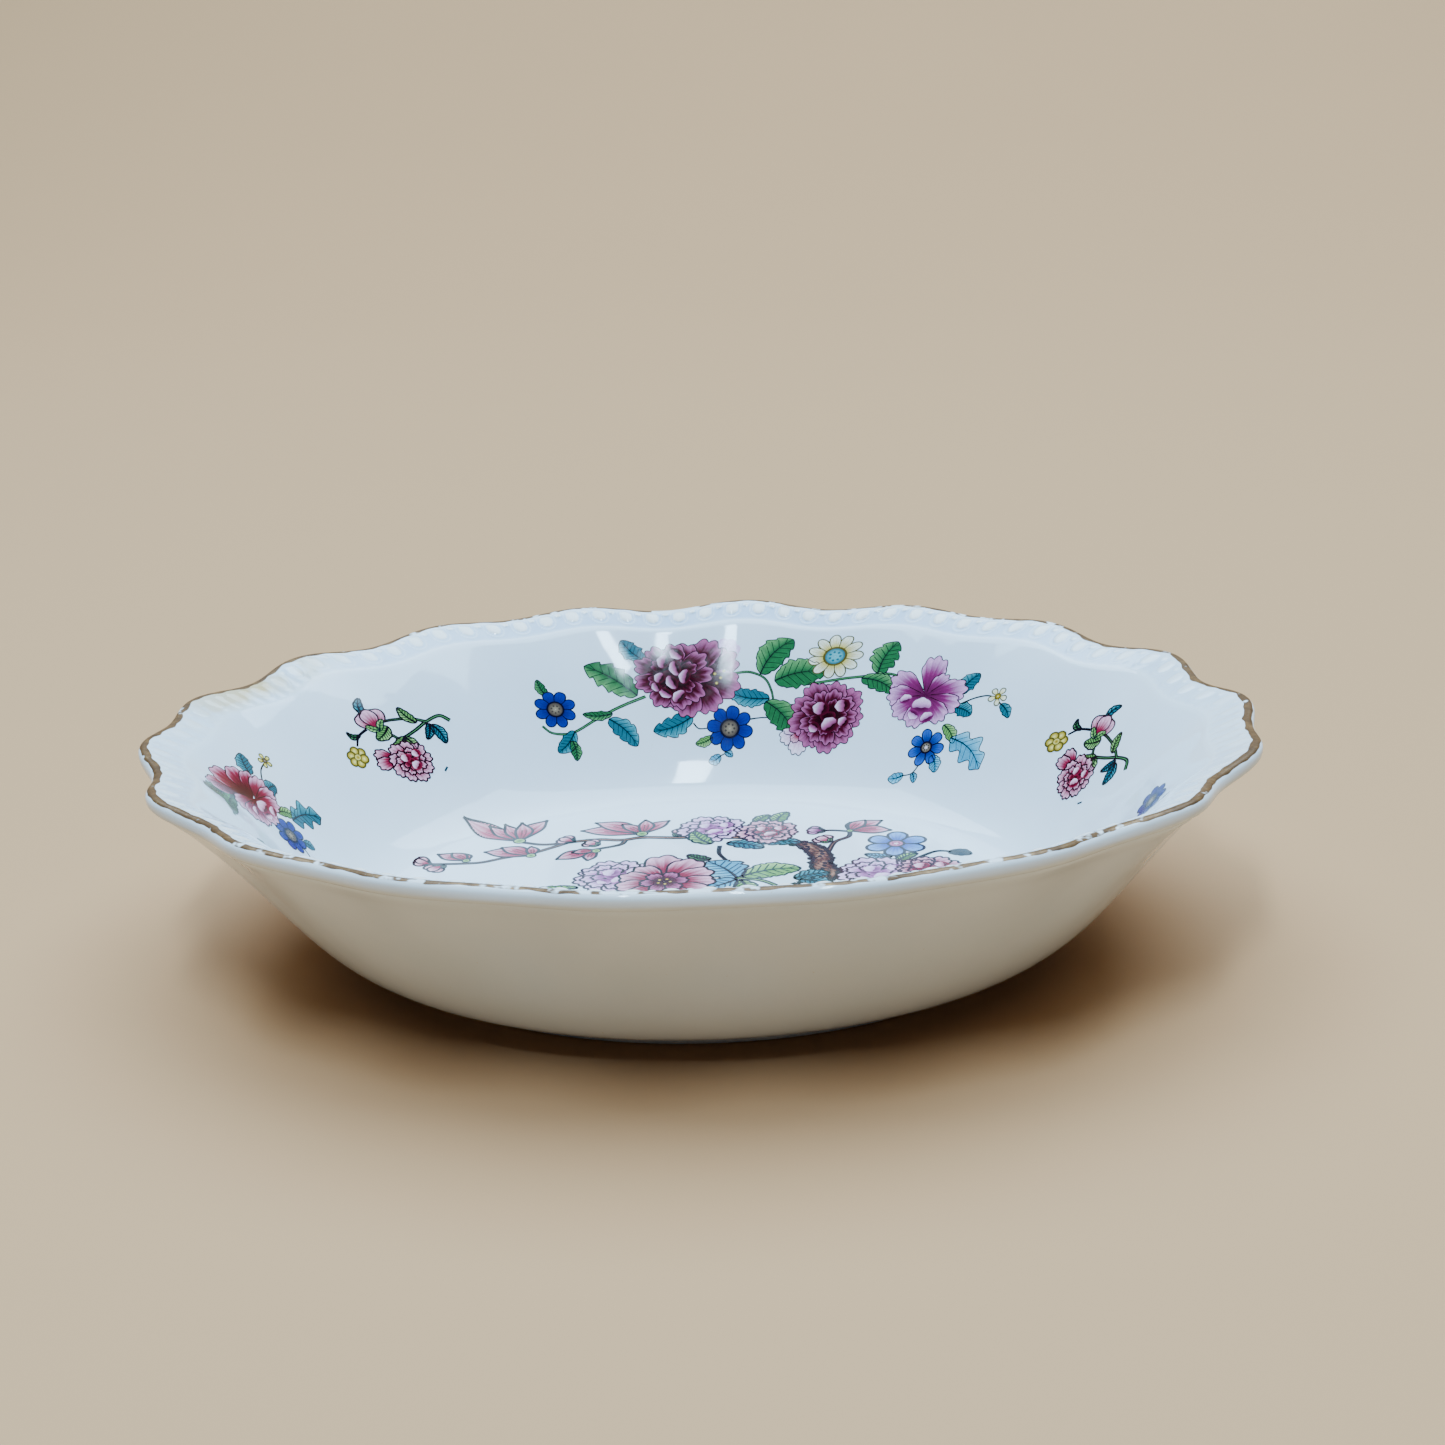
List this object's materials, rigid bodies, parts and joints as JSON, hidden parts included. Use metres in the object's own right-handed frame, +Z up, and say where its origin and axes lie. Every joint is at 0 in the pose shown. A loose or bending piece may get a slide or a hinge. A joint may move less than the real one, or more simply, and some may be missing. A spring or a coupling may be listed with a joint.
{
  "type": "oval serving bowl",
  "caption": "Open oval porcelain serving bowl with a scalloped, beaded and gilt-edged rim and floral transfers inside.",
  "frame": {"origin": "on the table, under the middle of the bowl's bounding box", "axes": "+Z up out of the bowl; +X along the long axis; +Y across the bowl, towards the wall with the back spray"},
  "size_m": [0.2506, 0.1992, 0.0517],
  "materials": {
    "porcelain": "gloss",
    "gilding": "satin",
    "enamel": "gloss"
  },
  "bodies": {
    "root": {"bowl_body": "porcelain", "foot_ring": "porcelain", "bead_border": "porcelain", "gilt_rim_line": "gilding", "centre_tree_transfer": "enamel", "back_spray_transfer": "enamel", "front_spray_transfer": "enamel", "left_end_spray_transfer": "enamel", "right_end_spray_transfer": "enamel", "back_left_sprig_transfer": "enamel", "back_right_sprig_transfer": "enamel", "front_left_sprig_transfer": "enamel", "front_right_sprig_transfer": "enamel"}
  },
  "joints": []
}
